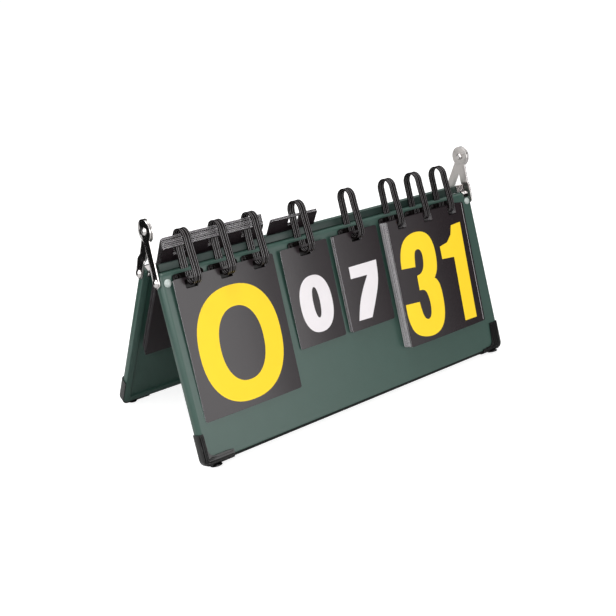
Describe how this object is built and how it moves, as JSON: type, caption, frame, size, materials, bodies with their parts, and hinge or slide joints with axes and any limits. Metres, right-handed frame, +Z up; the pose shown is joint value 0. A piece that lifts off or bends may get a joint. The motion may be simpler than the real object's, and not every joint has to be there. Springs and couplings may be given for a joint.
{
  "type": "tabletop flip scoreboard",
  "caption": "Folding A-frame scoreboard for a table: two green panels joined by riveted arms, with ring straps that carry wide and narrow flip-over number leaves.",
  "frame": {"origin": "on the table, midway between the four feet", "axes": "+X along the width to the viewer's right, -Y towards the front, +Z up"},
  "size_m": [0.388, 0.1606, 0.2093],
  "materials": {
    "green_panel": "satin dark green, fine grain",
    "black_plastic": "satin black",
    "leaf_sheet": "satin near-black sheet with pale edges",
    "plated_steel": "bright plated steel"
  },
  "bodies": {
    "front_stand": {"front_panel": "green_panel", "ring_rail": "green_panel", "corner_rivet_left": "green_panel", "corner_rivet_right": "green_panel", "ring_1": "black_plastic", "ring_2": "black_plastic", "ring_3": "black_plastic", "ring_4": "black_plastic", "ring_5": "black_plastic", "ring_6": "black_plastic", "ring_7": "black_plastic", "ring_8": "black_plastic", "ring_base_1": "black_plastic", "ring_base_2": "black_plastic", "ring_base_3": "black_plastic", "ring_base_4": "black_plastic", "ring_base_5": "black_plastic", "ring_base_6": "black_plastic", "ring_base_7": "black_plastic", "ring_base_8": "black_plastic", "protector_front_left": "black_plastic", "protector_front_right": "black_plastic", "foot_front_left": "black_plastic", "foot_front_right": "black_plastic", "front_arm_screw_left": "plated_steel", "front_arm_screw_right": "plated_steel", "left_flipped_upper": "leaf_sheet", "small_left_flipped_upper": "leaf_sheet"},
    "front_arms": {"front_arm_left": "plated_steel", "front_arm_right": "plated_steel", "pivot_rivet_left": "plated_steel", "pivot_rivet_right": "plated_steel"},
    "rear_arms": {"rear_arm_left": "plated_steel", "rear_arm_right": "plated_steel"},
    "rear_stand": {"rear_panel": "green_panel", "protector_rear_left": "black_plastic", "protector_rear_right": "black_plastic", "foot_rear_left": "black_plastic", "foot_rear_right": "black_plastic", "rear_arm_screw_left": "plated_steel", "rear_arm_screw_right": "plated_steel"},
    "left_front_leaf": {"left_front_leaf": "leaf_sheet"},
    "small_left_front_leaf": {"small_left_front_leaf": "leaf_sheet"},
    "small_right_leaves": {"small_right_leaves": "leaf_sheet"},
    "small_right_front_leaf": {"small_right_front_leaf": "leaf_sheet"},
    "right_leaves": {"right_leaves": "leaf_sheet"},
    "right_front_leaf": {"right_front_leaf": "leaf_sheet"},
    "left_flipped_leaves": {"left_flipped_lower": "leaf_sheet"},
    "small_left_flipped_leaves": {"small_left_flipped_lower": "leaf_sheet"}
  },
  "joints": [
    {"name": "front_arms_fold", "type": "hinge", "parent": "front_stand", "child": "front_arms", "pos_m": [0, -0.01442, 0.15644], "axis": [-1, 0, 0], "range_deg": [0, 14.27]},
    {"name": "arm_heads_fold", "type": "hinge", "parent": "front_arms", "child": "rear_arms", "pos_m": [0, 0, 0.19907], "axis": [-1, 0, 0], "range_deg": [0, 14.27]},
    {"name": "rear_panel_fold", "type": "hinge", "parent": "rear_arms", "child": "rear_stand", "pos_m": [0, 0.01442, 0.15644], "axis": [-1, 0, 0], "range_deg": [0, 14.27]},
    {"name": "left_flipped_bend", "type": "hinge", "parent": "front_stand", "child": "left_flipped_leaves", "pos_m": [0, -0.00426, 0.16904], "axis": [-1, 0, 0], "range_deg": [0, 42.8]},
    {"name": "small_left_flipped_bend", "type": "hinge", "parent": "front_stand", "child": "small_left_flipped_leaves", "pos_m": [0, -0.00426, 0.16904], "axis": [-1, 0, 0], "range_deg": [0, 42.8]},
    {"name": "left_front_leaf_flip", "type": "hinge", "parent": "front_stand", "child": "left_front_leaf", "pos_m": [0, -0.02796, 0.16164], "axis": [-1, 0, 0], "range_deg": [0, 110]},
    {"name": "small_left_front_leaf_flip", "type": "hinge", "parent": "front_stand", "child": "small_left_front_leaf", "pos_m": [0, -0.02796, 0.16164], "axis": [-1, 0, 0], "range_deg": [0, 110]},
    {"name": "small_right_leaves_flip", "type": "hinge", "parent": "front_stand", "child": "small_right_leaves", "pos_m": [0, -0.02796, 0.16164], "axis": [-1, 0, 0], "range_deg": [0, 40]},
    {"name": "small_right_front_leaf_flip", "type": "hinge", "parent": "small_right_leaves", "child": "small_right_front_leaf", "pos_m": [0, -0.02796, 0.16164], "axis": [-1, 0, 0], "range_deg": [0, 70]},
    {"name": "right_leaves_flip", "type": "hinge", "parent": "front_stand", "child": "right_leaves", "pos_m": [0, -0.02796, 0.16164], "axis": [-1, 0, 0], "range_deg": [0, 40]},
    {"name": "right_front_leaf_flip", "type": "hinge", "parent": "right_leaves", "child": "right_front_leaf", "pos_m": [0, -0.02796, 0.16164], "axis": [-1, 0, 0], "range_deg": [0, 70]}
  ],
  "couplings": [
    {"joint": "front_arms_fold", "follows": "rear_panel_fold", "ratio": 1},
    {"joint": "arm_heads_fold", "follows": "rear_panel_fold", "ratio": 1},
    {"joint": "left_flipped_bend", "follows": "rear_panel_fold", "ratio": 3},
    {"joint": "small_left_flipped_bend", "follows": "rear_panel_fold", "ratio": 3}
  ]
}
